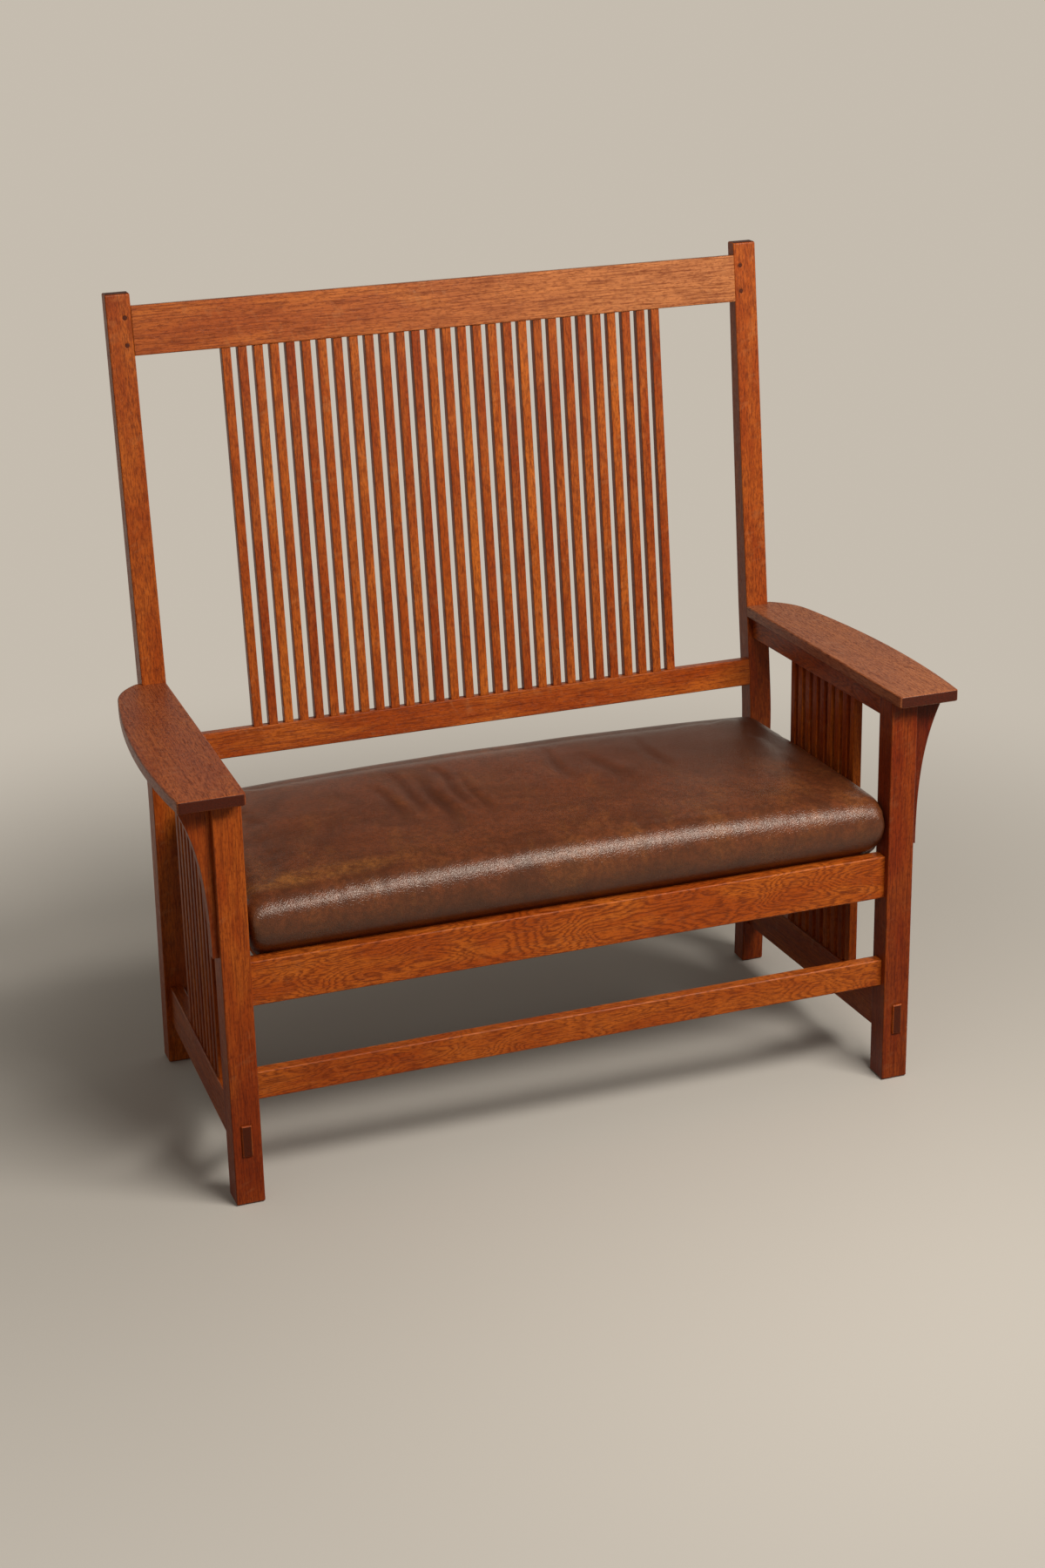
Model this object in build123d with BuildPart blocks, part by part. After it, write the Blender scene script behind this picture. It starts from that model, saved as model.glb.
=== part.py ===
from build123d import *
from math import atan2, cos, sin, sqrt
import os

# A mission settle in quartersawn oak: spindled back, open spindled sides, flat arms on corbels
# and a loose leather seat cushion. Millimetres, +Z up, the front faces -Y, and the origin is on
# the floor under the middle of the whole. In plan the settle narrows a little to the back.
# Sizes called setbacks are measured to the rear from the front faces of the front legs.

# Whole settle
overall_height = 1245
front_half_width = 550
rear_half_width = 533

# Joinery
joint_play = 0.2
edge_chamfer = 1.2

# Front legs
leg_width = 43
leg_depth = 42
leg_height = 634
foot_chamfer = 3
leg_tenon_width = 24
leg_tenon_depth = 24
leg_tenon_height = 11

# Rear posts, which kick back below the seat and lean back and taper above it
post_width = 38
post_depth = 36
post_top_depth = 22.5
post_setback = 477
post_bend_height = 470
post_lean = 85
post_kick = 25.5
post_bend_radius = 500
post_top_round = 3

# Back rails, set along the leaning front faces of the posts
top_rail_width = 74
top_rail_drop = 19.4
lower_rail_width = 44
lower_rail_rise = 49
back_rail_thickness = 20
back_tenon_thickness = 8
back_tenon_length = 27
back_tenon_shoulder = 7

# Pegs through the tenons of the top rail
peg_diameter = 7.5
peg_length = 19
peg_spacing = 41
peg_inset = 10.5

# Back spindles
back_spindle_count = 29
back_spindle_pitch = 25.3
back_spindle_setback = 3

# Spindles of back and sides
spindle_width = 14.2
spindle_chamfer = 0.8
spindle_tenon_width = 10
spindle_tenon_length = 12

# Front and rear seat rails
seat_rail_top = 380.5
seat_rail_width = 69
seat_rail_thickness = 24.5
front_rail_setback = 11
rear_rail_inset = 3
seat_tenon_thickness = 10
seat_tenon_length = 29
seat_tenon_shoulder = 9

# Front stretcher
front_stretcher_top = 205
front_stretcher_width = 43.5
front_stretcher_thickness = 19.5
front_stretcher_setback = 12.5

# Side stretchers, whose front tenons run through the legs and stand proud of them
side_stretcher_top = 138.5
side_stretcher_width = 67
side_stretcher_thickness = 20.5
through_tenon_thickness = 15.5
through_tenon_shoulder = 8.5
through_tenon_proud = 3.6
tenon_end_chamfer = 1.5

# Arm rails
arm_rail_width = 37
arm_rail_thickness = 20
arm_tenon_thickness = 9
arm_tenon_shoulder = 7
side_tenon_length = 25

# Side spindles
side_spindle_count = 9
side_spindle_pitch = 25
side_row_share = 0.467

# Arms
arm_thickness = 18
arm_overhang = 27.5
arm_front_width = 97.3
arm_inner_lap = 1.3
arm_wrap = 11.5
arm_shoulder_width = 88
arm_tail_length = 64
arm_tail_width = 8
arm_bow_rise = 17.5
arm_corner_round = 5
arm_edge_round = 2.5

# Corbels
corbel_height = 239
corbel_projection = 52
corbel_foot = 9
corbel_setback = 12
corbel_thickness = 20
corbel_curve_shares = ((0, 0.44), (0.21, 0.73))

# Seat slats and the cleats that carry them
cleat_height = 20
cleat_depth = 18
cleat_end_gap = 10
slat_count = 7
slat_width = 80
slat_thickness = 10
slat_drop = 8.5
slat_end_gap = 0.5

# Seat cushion
cushion_gap = 0.3
cushion_leg_gap = 7
cushion_post_gap = 11
cushion_side_shift = 4.5
cushion_rail_gap = 2.3
cushion_toe_gap = 1.5
cushion_toe_height = 10
cushion_height = 108
cushion_nose_setback = 20
cushion_front_setback = 2
cushion_back_round = 3
cushion_back_tuck = 11
cushion_end_tuck = 9
cushion_crown = 6
cushion_edge_round = 42
cushion_end_round = 20

# The settle is centred front to back between the arms' front ends and the posts' top back edges
post_top_back = post_setback + post_lean + post_top_depth
leg_front_y = (arm_overhang - post_top_back) / 2

# Inner faces of legs and posts
leg_inner = front_half_width - leg_width
post_inner = rear_half_width - post_width

# Front view, side view and the leaning plane of the back
front_view = Plane(origin=(0, leg_front_y, 0), x_dir=(1, 0, 0), z_dir=(0, -1, 0))
side_view = Plane(origin=(0, leg_front_y, 0), x_dir=(0, 1, 0), z_dir=(1, 0, 0))
lean = atan2(post_lean, overall_height - post_bend_height)
back_view = Plane(
    origin=(0, leg_front_y + post_setback, post_bend_height),
    x_dir=(1, 0, 0),
    z_dir=(0, -cos(lean), sin(lean)),
)

# Plane of the right side frame, through the middle of the leg and of the post
leg_centre_x = front_half_width - leg_width / 2
side_run_x = (rear_half_width - post_width / 2) - leg_centre_x
side_run_y = post_setback + post_depth / 2 - leg_depth / 2
side_turn = atan2(-side_run_x, side_run_y)
side_frame = Plane(
    origin=(leg_centre_x, leg_front_y + leg_depth / 2, 0),
    x_dir=(side_run_x, side_run_y, 0),
    z_dir=(side_run_y, -side_run_x, 0),
)


def post_front(height):
    """Setback of the post's front face at a height."""
    if height > post_bend_height:
        return post_setback + (height - post_bend_height) * post_lean / (overall_height - post_bend_height)
    return post_setback + (post_bend_height - height) * post_kick / post_bend_height


def along_side(setback):
    """Distance along the side frame from the leg's middle to a setback."""
    return (setback - leg_depth / 2) / cos(side_turn)


def bar(plane, along, across, depth, play=0, mode=Mode.ADD):
    """A square bar from its spans along the plane's x, y and normal, with play added all round."""
    with BuildSketch(plane.offset(depth[0] - play)) as section:
        with Locations((sum(along) / 2, sum(across) / 2)):
            Rectangle(along[1] - along[0] + 2 * play, across[1] - across[0] + 2 * play)
    extrude(section.sketch, amount=depth[1] - depth[0] + 2 * play, mode=mode)


def bar_row(plane, pitch, count, middle, width, across, depth, play=0, mode=Mode.ADD):
    """A row of equal square bars, spaced along the plane's x about a middle."""
    with BuildSketch(plane.offset(depth[0] - play)) as section:
        with Locations((middle, sum(across) / 2)):
            with GridLocations(pitch, 0, count, 1):
                Rectangle(width + 2 * play, across[1] - across[0] + 2 * play)
    extrude(section.sketch, amount=depth[1] - depth[0] + 2 * play, mode=mode)


def pegs(mode=Mode.ADD):
    """The round pegs that pin the top rail's tenons, two in each post."""
    with BuildSketch(back_view) as section:
        with Locations((0, (top_rail_low + top_rail_high) / 2)):
            with GridLocations(2 * (post_inner + peg_inset), peg_spacing, 2, 2):
                Circle(peg_diameter / 2)
    extrude(section.sketch, amount=-peg_length, mode=mode)


# Heights along the lean, measured up from the bend
back_top = (overall_height - post_bend_height) / cos(lean)
top_rail_high = back_top - top_rail_drop
top_rail_low = top_rail_high - top_rail_width
lower_rail_low = lower_rail_rise
lower_rail_high = lower_rail_low + lower_rail_width

# Tongues: each runs the length of its rail, and its ends are the tenons
back_tongue_depth = (
    -(back_rail_thickness + back_tenon_thickness) / 2,
    -(back_rail_thickness - back_tenon_thickness) / 2,
)
back_tongue_reach = (-(post_inner + back_tenon_length), post_inner + back_tenon_length)
top_tongue = (
    back_view,
    back_tongue_reach,
    (top_rail_low + back_tenon_shoulder, top_rail_high - back_tenon_shoulder),
    back_tongue_depth,
)
lower_tongue = (
    back_view,
    back_tongue_reach,
    (lower_rail_low + back_tenon_shoulder, lower_rail_high - back_tenon_shoulder),
    back_tongue_depth,
)

seat_rail_low = seat_rail_top - seat_rail_width
seat_tongue_height = (seat_rail_low + seat_tenon_shoulder, seat_rail_top - seat_tenon_shoulder)
front_rail_depth = (-(front_rail_setback + seat_rail_thickness), -front_rail_setback)
front_rail_middle = front_rail_setback + seat_rail_thickness / 2
front_tongue = (
    front_view,
    (-(leg_inner + seat_tenon_length), leg_inner + seat_tenon_length),
    seat_tongue_height,
    (-(front_rail_middle + seat_tenon_thickness / 2), -(front_rail_middle - seat_tenon_thickness / 2)),
)

rear_rail_setback = post_front(seat_rail_low) + rear_rail_inset
rear_rail_depth = (-(rear_rail_setback + seat_rail_thickness), -rear_rail_setback)
rear_rail_middle = rear_rail_setback + seat_rail_thickness / 2
rear_tongue = (
    front_view,
    (-(post_inner + seat_tenon_length), post_inner + seat_tenon_length),
    seat_tongue_height,
    (-(rear_rail_middle + seat_tenon_thickness / 2), -(rear_rail_middle - seat_tenon_thickness / 2)),
)

front_stretcher_low = front_stretcher_top - front_stretcher_width
stretcher_middle = front_stretcher_setback + front_stretcher_thickness / 2
stretcher_tongue = (
    front_view,
    (-(leg_inner + seat_tenon_length), leg_inner + seat_tenon_length),
    (front_stretcher_low + back_tenon_shoulder, front_stretcher_top - back_tenon_shoulder),
    (-(stretcher_middle + back_tenon_thickness / 2), -(stretcher_middle - back_tenon_thickness / 2)),
)

side_stretcher_low = side_stretcher_top - side_stretcher_width
side_tongue = (
    side_frame,
    (along_side(-through_tenon_proud), along_side(post_front(side_stretcher_top) + side_tenon_length)),
    (side_stretcher_low + through_tenon_shoulder, side_stretcher_top - through_tenon_shoulder),
    (-through_tenon_thickness / 2, through_tenon_thickness / 2),
)

arm_rail_low = leg_height - arm_rail_width
arm_tongue = (
    side_frame,
    (along_side(leg_depth - side_tenon_length), along_side(post_front(arm_rail_low) + side_tenon_length)),
    (arm_rail_low + arm_tenon_shoulder, leg_height - arm_tenon_shoulder),
    (-arm_tenon_thickness / 2, arm_tenon_thickness / 2),
)

leg_tongue = (
    front_view,
    (leg_centre_x - leg_tenon_width / 2, leg_centre_x + leg_tenon_width / 2),
    (0, leg_height + leg_tenon_height),
    (-(leg_depth + leg_tenon_depth) / 2, -(leg_depth - leg_tenon_depth) / 2),
)

# Spindle rows, as bars from shoulder to shoulder and as tongues with their end tenons
back_spindle_span = (lower_rail_high, top_rail_low)
back_spindle_depth = (-(back_spindle_setback + spindle_width), -back_spindle_setback)
back_spindle_tongue_span = (lower_rail_high - spindle_tenon_length, top_rail_low + spindle_tenon_length)
back_spindle_middle = back_spindle_setback + spindle_width / 2
back_spindle_tongue_depth = (
    -(back_spindle_middle + spindle_tenon_width / 2),
    -(back_spindle_middle - spindle_tenon_width / 2),
)
side_opening = post_front(arm_rail_low) - leg_depth
side_row_middle = along_side(leg_depth + side_opening * side_row_share)
side_spindle_span = (side_stretcher_top, arm_rail_low)
side_spindle_tongue_span = (side_stretcher_top - spindle_tenon_length, arm_rail_low + spindle_tenon_length)
side_pockets = (
    side_frame,
    side_spindle_pitch,
    side_spindle_count,
    side_row_middle,
    spindle_tenon_width,
    side_spindle_tongue_span,
    (-spindle_tenon_width / 2, spindle_tenon_width / 2),
)
back_pockets = (
    back_view,
    back_spindle_pitch,
    back_spindle_count,
    0,
    spindle_tenon_width,
    back_spindle_tongue_span,
    back_spindle_tongue_depth,
)

os.makedirs("parts", exist_ok=True)

# Front legs: square, with a chamfered foot and a stub tenon that enters the arm
with BuildPart() as leg_blank:
    bar(front_view, (leg_inner, front_half_width), (0, leg_height), (-leg_depth, 0))

with BuildPart() as front_leg_right:
    add(leg_blank.part)
    chamfer(front_leg_right.faces().sort_by(Axis.Z)[0].edges(), length=foot_chamfer)
    chamfer(front_leg_right.edges().filter_by(Axis.Z), length=edge_chamfer)
    bar(*leg_tongue)
    bar(*front_tongue, play=joint_play, mode=Mode.SUBTRACT)
    bar(*stretcher_tongue, play=joint_play, mode=Mode.SUBTRACT)
    bar(*side_tongue, play=joint_play, mode=Mode.SUBTRACT)
    bar(*arm_tongue, play=joint_play, mode=Mode.SUBTRACT)
front_leg_right.part.label = "front_leg_right"
export_step(front_leg_right.part, "parts/front_leg_right.step")

with BuildPart() as front_leg_left:
    mirror(front_leg_right.part, about=Plane.YZ)
front_leg_left.part.label = "front_leg_left"
export_step(front_leg_left.part, "parts/front_leg_left.step")

# Rear posts: one bent and tapered outline, cut from a wide board
with BuildSketch(side_view.offset(post_inner)) as post_outline:
    with BuildLine():
        Polyline(
            (post_front(0), 0),
            (post_setback, post_bend_height),
            (post_setback + post_lean, overall_height),
            (post_top_back, overall_height),
            (post_front(leg_height + arm_thickness) + post_depth, leg_height + arm_thickness),
            (post_setback + post_depth, post_bend_height),
            (post_front(0) + post_depth, 0),
            close=True,
        )
    make_face()
    bends = post_outline.vertices().filter_by_position(Axis.Y, 0, overall_height, inclusive=(False, False))
    fillet(bends, radius=post_bend_radius)
    fillet(post_outline.vertices().group_by(Axis.Y)[-1], radius=post_top_round)

with BuildPart() as post_blank:
    extrude(post_outline.sketch, amount=post_width)

with BuildPart() as rear_post_right:
    add(post_blank.part)
    chamfer(rear_post_right.faces().sort_by(Axis.Z)[0].edges(), length=foot_chamfer)
    slopes = rear_post_right.faces().sort_by(Axis.Z)[:5].edges()
    chamfer(rear_post_right.faces().filter_by(Axis.X).edges() - slopes, length=edge_chamfer)
    bar(*top_tongue, play=joint_play, mode=Mode.SUBTRACT)
    bar(*lower_tongue, play=joint_play, mode=Mode.SUBTRACT)
    bar(*rear_tongue, play=joint_play, mode=Mode.SUBTRACT)
    bar(*side_tongue, play=joint_play, mode=Mode.SUBTRACT)
    bar(*arm_tongue, play=joint_play, mode=Mode.SUBTRACT)
    pegs(mode=Mode.SUBTRACT)
rear_post_right.part.label = "rear_post_right"
export_step(rear_post_right.part, "parts/rear_post_right.step")

with BuildPart() as rear_post_left:
    mirror(rear_post_right.part, about=Plane.YZ)
rear_post_left.part.label = "rear_post_left"
export_step(rear_post_left.part, "parts/rear_post_left.step")

# Top back rail, flush with the posts' front faces, bored for its pegs
with BuildPart() as top_back_rail:
    bar(back_view, (-post_inner, post_inner), (top_rail_low, top_rail_high), (-back_rail_thickness, 0))
    chamfer(top_back_rail.edges().filter_by(Axis.X), length=edge_chamfer)
    bar(*top_tongue)
    bar_row(*back_pockets, play=joint_play, mode=Mode.SUBTRACT)
    pegs(mode=Mode.SUBTRACT)
top_back_rail.part.label = "top_back_rail"
export_step(top_back_rail.part, "parts/top_back_rail.step")

# Lower back rail
with BuildPart() as lower_back_rail:
    bar(back_view, (-post_inner, post_inner), (lower_rail_low, lower_rail_high), (-back_rail_thickness, 0))
    chamfer(lower_back_rail.edges().filter_by(Axis.X), length=edge_chamfer)
    bar(*lower_tongue)
    bar_row(*back_pockets, play=joint_play, mode=Mode.SUBTRACT)
lower_back_rail.part.label = "lower_back_rail"
export_step(lower_back_rail.part, "parts/lower_back_rail.step")

# Pegs of the top rail
with BuildPart() as rail_pegs:
    pegs()
rail_pegs.part.label = "rail_pegs"
export_step(rail_pegs.part, "parts/rail_pegs.step")

# Back spindles: square, with a stub tenon at each end
back_up = Axis((0, 0, 0), back_view.y_dir)
for number in range(1, back_spindle_count + 1):
    middle = (number - (back_spindle_count + 1) / 2) * back_spindle_pitch
    with BuildPart() as back_spindle:
        bar(
            back_view,
            (middle - spindle_width / 2, middle + spindle_width / 2),
            back_spindle_span,
            back_spindle_depth,
        )
        chamfer(back_spindle.edges().filter_by(back_up), length=spindle_chamfer)
        bar(
            back_view,
            (middle - spindle_tenon_width / 2, middle + spindle_tenon_width / 2),
            back_spindle_tongue_span,
            back_spindle_tongue_depth,
        )
    back_spindle.part.label = f"back_spindle_{number:02d}"
    export_step(back_spindle.part, f"parts/back_spindle_{number:02d}.step")

# Front seat rail
with BuildPart() as front_seat_rail:
    bar(front_view, (-leg_inner, leg_inner), (seat_rail_low, seat_rail_top), front_rail_depth)
    chamfer(front_seat_rail.edges().filter_by(Axis.X), length=edge_chamfer)
    bar(*front_tongue)
front_seat_rail.part.label = "front_seat_rail"
export_step(front_seat_rail.part, "parts/front_seat_rail.step")

# Rear seat rail, between the posts
with BuildPart() as rear_seat_rail:
    bar(front_view, (-post_inner, post_inner), (seat_rail_low, seat_rail_top), rear_rail_depth)
    chamfer(rear_seat_rail.edges().filter_by(Axis.X), length=edge_chamfer)
    bar(*rear_tongue)
rear_seat_rail.part.label = "rear_seat_rail"
export_step(rear_seat_rail.part, "parts/rear_seat_rail.step")

# Front stretcher
with BuildPart() as front_stretcher:
    bar(
        front_view,
        (-leg_inner, leg_inner),
        (front_stretcher_low, front_stretcher_top),
        (-(front_stretcher_setback + front_stretcher_thickness), -front_stretcher_setback),
    )
    chamfer(front_stretcher.edges().filter_by(Axis.X), length=edge_chamfer)
    bar(*stretcher_tongue)
front_stretcher.part.label = "front_stretcher"
export_step(front_stretcher.part, "parts/front_stretcher.step")

# Side stretchers: shoulders cut to the leg and to the slanted post, tenon through the leg
side_reach = (0, along_side(post_front(0)))
side_axis = Axis((0, 0, 0), side_frame.x_dir)

with BuildPart() as side_stretcher_right:
    bar(
        side_frame,
        side_reach,
        (side_stretcher_low, side_stretcher_top),
        (-side_stretcher_thickness / 2, side_stretcher_thickness / 2),
    )
    chamfer(side_stretcher_right.edges().filter_by(side_axis), length=edge_chamfer)
    add(leg_blank.part, mode=Mode.SUBTRACT)
    add(post_blank.part, mode=Mode.SUBTRACT)
    bar(*side_tongue)
    chamfer(side_stretcher_right.faces().sort_by(Axis.Y)[0].edges(), length=tenon_end_chamfer)
    bar_row(*side_pockets, play=joint_play, mode=Mode.SUBTRACT)
side_stretcher_right.part.label = "side_stretcher_right"
export_step(side_stretcher_right.part, "parts/side_stretcher_right.step")

with BuildPart() as side_stretcher_left:
    mirror(side_stretcher_right.part, about=Plane.YZ)
side_stretcher_left.part.label = "side_stretcher_left"
export_step(side_stretcher_left.part, "parts/side_stretcher_left.step")

# Arm rails, under the arms
with BuildPart() as arm_rail_right:
    bar(
        side_frame,
        side_reach,
        (arm_rail_low, leg_height),
        (-arm_rail_thickness / 2, arm_rail_thickness / 2),
    )
    chamfer(arm_rail_right.edges().filter_by(side_axis), length=edge_chamfer)
    add(leg_blank.part, mode=Mode.SUBTRACT)
    add(post_blank.part, mode=Mode.SUBTRACT)
    bar(*arm_tongue)
    bar_row(*side_pockets, play=joint_play, mode=Mode.SUBTRACT)
arm_rail_right.part.label = "arm_rail_right"
export_step(arm_rail_right.part, "parts/arm_rail_right.step")

with BuildPart() as arm_rail_left:
    mirror(arm_rail_right.part, about=Plane.YZ)
arm_rail_left.part.label = "arm_rail_left"
export_step(arm_rail_left.part, "parts/arm_rail_left.step")

# Side spindles, a row on each side
with BuildPart() as side_spindles_right:
    bar_row(
        side_frame,
        side_spindle_pitch,
        side_spindle_count,
        side_row_middle,
        spindle_width,
        side_spindle_span,
        (-spindle_width / 2, spindle_width / 2),
    )
    chamfer(side_spindles_right.edges().filter_by(Axis.Z), length=spindle_chamfer)
    bar_row(*side_pockets)
side_spindles_right.part.label = "side_spindles_right"
export_step(side_spindles_right.part, "parts/side_spindles_right.step")

with BuildPart() as side_spindles_left:
    mirror(side_spindles_right.part, about=Plane.YZ)
side_spindles_left.part.label = "side_spindles_left"
export_step(side_spindles_left.part, "parts/side_spindles_left.step")

# Arms: bowed outer edge, rounded tail lapped round the outside of the post
arm_front_inner = leg_inner - arm_inner_lap
arm_tail = post_front(leg_height + arm_thickness) + arm_wrap
arm_shoulder = arm_tail - arm_tail_length

with BuildSketch(Plane((0, leg_front_y, leg_height))) as arm_outline:
    with BuildLine():
        bow = SagittaArc(
            (post_inner + arm_shoulder_width, arm_shoulder),
            (arm_front_inner + arm_front_width, -arm_overhang),
            arm_bow_rise,
        )
        tail = TangentArc(bow @ 0, (rear_half_width + arm_tail_width, arm_tail), tangent=bow % 0 * -1)
        Polyline(
            tail @ 1,
            (post_inner, arm_tail),
            (post_inner, post_front(leg_height)),
            (arm_front_inner, -arm_overhang),
            bow @ 1,
        )
    make_face()

with BuildPart() as arm_right:
    extrude(arm_outline.sketch, amount=arm_thickness)
    fillet(arm_right.edges().filter_by(Axis.Z).group_by(Axis.Y)[0], radius=arm_corner_round)
    fillet(arm_right.faces().sort_by(Axis.Z)[-1].edges(), radius=arm_edge_round)
    chamfer(arm_right.faces().sort_by(Axis.Z)[0].edges(), length=edge_chamfer)
    add(post_blank.part, mode=Mode.SUBTRACT)
    bar(*leg_tongue, play=joint_play, mode=Mode.SUBTRACT)
arm_right.part.label = "arm_right"
export_step(arm_right.part, "parts/arm_right.step")

with BuildPart() as arm_left:
    mirror(arm_right.part, about=Plane.YZ)
arm_left.part.label = "arm_left"
export_step(arm_left.part, "parts/arm_left.step")

# Corbels: long hollow curve from the arm down to a narrow foot on the outside of the leg
corbel_curve = [
    (
        front_half_width + corbel_foot + (corbel_projection - corbel_foot) * out,
        leg_height - corbel_height + corbel_height * up,
    )
    for out, up in corbel_curve_shares
]

with BuildPart() as corbel_right:
    with BuildSketch(front_view.offset(-corbel_setback)):
        with BuildLine():
            sweep_in = Bezier(
                (front_half_width + corbel_foot, leg_height - corbel_height),
                *corbel_curve,
                (front_half_width + corbel_projection, leg_height),
            )
            Polyline(
                sweep_in @ 1,
                (front_half_width, leg_height),
                (front_half_width, leg_height - corbel_height),
                sweep_in @ 0,
            )
        make_face()
    extrude(amount=-corbel_thickness)
corbel_right.part.label = "corbel_right"
export_step(corbel_right.part, "parts/corbel_right.step")

with BuildPart() as corbel_left:
    mirror(corbel_right.part, about=Plane.YZ)
corbel_left.part.label = "corbel_left"
export_step(corbel_left.part, "parts/corbel_left.step")

# Cleats on the inside of the seat rails, and the slats that lie across them
deck_top = seat_rail_top - slat_drop
cleat_top = deck_top - slat_thickness
cleat_half_length = min(leg_inner, post_inner) - cleat_end_gap
cleat_span = (-cleat_half_length, cleat_half_length)
slat_pitch = (2 * cleat_half_length - slat_width) / (slat_count - 1)
deck_front = front_rail_setback + seat_rail_thickness

with BuildPart() as front_cleat:
    bar(
        front_view,
        cleat_span,
        (cleat_top - cleat_height, cleat_top),
        (-(deck_front + cleat_depth), -deck_front),
    )
front_cleat.part.label = "front_cleat"
export_step(front_cleat.part, "parts/front_cleat.step")

with BuildPart() as rear_cleat:
    bar(
        front_view,
        cleat_span,
        (cleat_top - cleat_height, cleat_top),
        (-rear_rail_setback, cleat_depth - rear_rail_setback),
    )
rear_cleat.part.label = "rear_cleat"
export_step(rear_cleat.part, "parts/rear_cleat.step")

for number in range(1, slat_count + 1):
    middle = (number - (slat_count + 1) / 2) * slat_pitch
    with BuildPart() as seat_slat:
        bar(
            front_view,
            (middle - slat_width / 2, middle + slat_width / 2),
            (cleat_top, deck_top),
            (slat_end_gap - rear_rail_setback, -(deck_front + slat_end_gap)),
        )
    seat_slat.part.label = f"seat_slat_{number}"
    export_step(seat_slat.part, f"parts/seat_slat_{number}.step")

# Seat cushion: crowned, its nose rolled out over the front rail, its back and ends drawn in.
# It lies loose, pushed a little towards the right leg.
cushion_bottom = deck_top + cushion_gap
cushion_top = cushion_bottom + cushion_height
cushion_middle = (cushion_bottom + cushion_top) / 2
cushion_toe = deck_front + cushion_toe_gap
cushion_toe_top = cushion_bottom + cushion_toe_height
cushion_back = post_setback + lower_rail_low * sin(lean) - cushion_rail_gap
cushion_foot = cushion_back - cushion_back_tuck
cushion_front_half_width = leg_inner - cushion_leg_gap
cushion_rear_half_width = post_inner - cushion_post_gap

with BuildPart() as seat_cushion:
    with BuildSketch(side_view) as cushion_section:
        with BuildLine():
            crown = ThreePointArc(
                (cushion_nose_setback, cushion_top),
                ((cushion_nose_setback + cushion_back) / 2, cushion_top + cushion_crown),
                (cushion_back - cushion_back_round, cushion_top),
            )
            back = ThreePointArc(
                crown @ 1,
                (cushion_back, cushion_middle),
                (cushion_foot, cushion_bottom),
            )
            toe = Polyline(
                back @ 1,
                (cushion_toe, cushion_bottom),
                (cushion_toe, cushion_toe_top),
            )
            ThreePointArc(toe @ 1, (cushion_front_setback, cushion_middle), crown @ 0)
        make_face()
        fillet(cushion_section.vertices().group_by(Axis.Y)[-1], radius=cushion_edge_round)
    extrude(amount=leg_inner, both=True)
    for side in (-1, 1):
        end_plane = Plane(
            origin=(cushion_side_shift + side * cushion_front_half_width, leg_front_y, 0),
            x_dir=(side * cushion_back, cushion_front_half_width - cushion_rear_half_width, 0),
            z_dir=(cushion_front_half_width - cushion_rear_half_width, -side * cushion_back, 0),
        )
        with BuildSketch(end_plane):
            with BuildLine():
                Polyline(
                    (-cushion_end_tuck, cushion_bottom),
                    (0, cushion_top + 2 * cushion_crown),
                    (cushion_front_half_width, cushion_top + 2 * cushion_crown),
                    (cushion_front_half_width, cushion_bottom),
                    close=True,
                )
            make_face()
        extrude(amount=overall_height, both=True, mode=Mode.SUBTRACT)
    ends = seat_cushion.faces().sort_by(Axis.X)
    end_edges = ends[0].edges() + ends[-1].edges()
    rolled = end_edges.filter_by_position(Axis.Z, cushion_toe_top, overall_height, inclusive=(False, False))
    fillet(rolled, radius=cushion_end_round)
seat_cushion.part.label = "seat_cushion"
export_step(seat_cushion.part, "parts/seat_cushion.step")
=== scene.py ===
import math

import bmesh
import bpy
from bpy.props import FloatProperty, FloatVectorProperty, IntProperty, PointerProperty
from mathutils import Euler, Matrix, Vector, noise
from mathutils.bvhtree import BVHTree


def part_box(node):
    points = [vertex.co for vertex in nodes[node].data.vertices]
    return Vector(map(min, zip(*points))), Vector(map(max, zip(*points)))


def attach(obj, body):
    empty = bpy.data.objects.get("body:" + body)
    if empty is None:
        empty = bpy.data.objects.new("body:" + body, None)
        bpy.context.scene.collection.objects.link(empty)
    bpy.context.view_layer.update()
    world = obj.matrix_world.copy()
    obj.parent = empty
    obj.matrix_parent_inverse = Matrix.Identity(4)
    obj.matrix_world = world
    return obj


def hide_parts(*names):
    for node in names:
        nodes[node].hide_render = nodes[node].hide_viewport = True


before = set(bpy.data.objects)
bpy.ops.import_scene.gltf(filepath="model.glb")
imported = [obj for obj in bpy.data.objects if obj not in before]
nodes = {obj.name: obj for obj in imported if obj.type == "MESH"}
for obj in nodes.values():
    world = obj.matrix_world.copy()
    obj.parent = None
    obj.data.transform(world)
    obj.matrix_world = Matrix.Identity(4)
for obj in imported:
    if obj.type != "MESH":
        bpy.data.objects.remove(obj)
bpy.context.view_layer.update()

bl_info = {
    "name": "Mission Settle",
    "version": (1, 0, 0),
    "blender": (4, 5, 0),
    "location": "View3D > Sidebar > Settle",
    "description": "Dresses a spindle-back oak settle with its finishes, leather cushion and plain studio",
    "category": "Object",
}

# How far the sides turn in from the front legs to the rear posts, over the length between them.
side_turn_in, side_length = 0.017, 0.477
plan_slant = math.atan2(side_turn_in, side_length)

# Which way the grain runs in a piece: its turn brings the grain to the pattern's own X axis.
upright = Euler((0, math.radians(90), 0))
lengthwise = Euler((0, 0, 0))
left_side = Euler((0, 0, math.radians(-90) + plan_slant))
right_side = Euler((0, 0, math.radians(-90) - plan_slant))
fore_and_aft = Euler((0, 0, math.radians(-90)))

# Each numbered board's grain is cut from its own place in the pattern, this far from the one before.
board_step = (0.37, 0.23, 0.31)

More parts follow.
